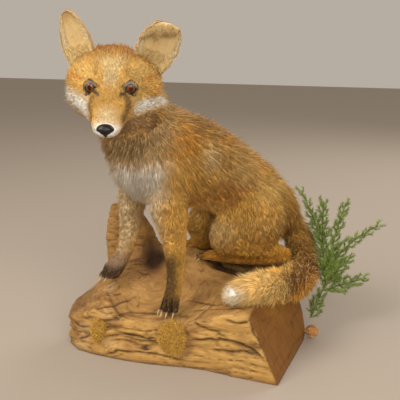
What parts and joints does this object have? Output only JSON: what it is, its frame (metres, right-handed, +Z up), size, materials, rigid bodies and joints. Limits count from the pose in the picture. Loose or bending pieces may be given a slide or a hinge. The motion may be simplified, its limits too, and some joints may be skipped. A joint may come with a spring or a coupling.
{
  "type": "taxidermy red fox on a log mount",
  "caption": "Seated red fox mount, head turned to one side, on a weathered root log with moss, a juniper sprig and a bark chip.",
  "frame": {"origin": "on the floor, under the middle of the log, on the log's flat underside", "axes": "+Z up, X along the log, -Y out of the log's front"},
  "size_m": [0.4749, 0.415, 0.538],
  "materials": {
    "coat": "soft fur",
    "coat_pale": "soft pale fur",
    "coat_dark": "short dark fur",
    "eye_glass": "clear glass over a painted iris",
    "nose_leather": "waxed black",
    "claw": "horn",
    "log_wood": "weathered, bare",
    "moss": "dry moss",
    "needles": "waxy green needles",
    "bark": "rough bark"
  },
  "bodies": {
    "root": {"trunk": "coat", "neck": "coat", "head": "coat", "ear_left": "coat_pale", "ear_right": "coat_pale", "eye_left": "eye_glass", "eye_right": "eye_glass", "nose_pad": "nose_leather", "foreleg_left": "coat_dark", "foreleg_right": "coat_dark", "hindleg_left": "coat", "hindleg_right": "coat", "tail_base": "coat", "tail_middle": "coat", "tail_tip": "coat_pale", "base_log": "log_wood", "base_moss_front": "moss", "base_moss_left": "moss", "base_sprig": "needles", "base_chip": "bark"}
  },
  "joints": []
}
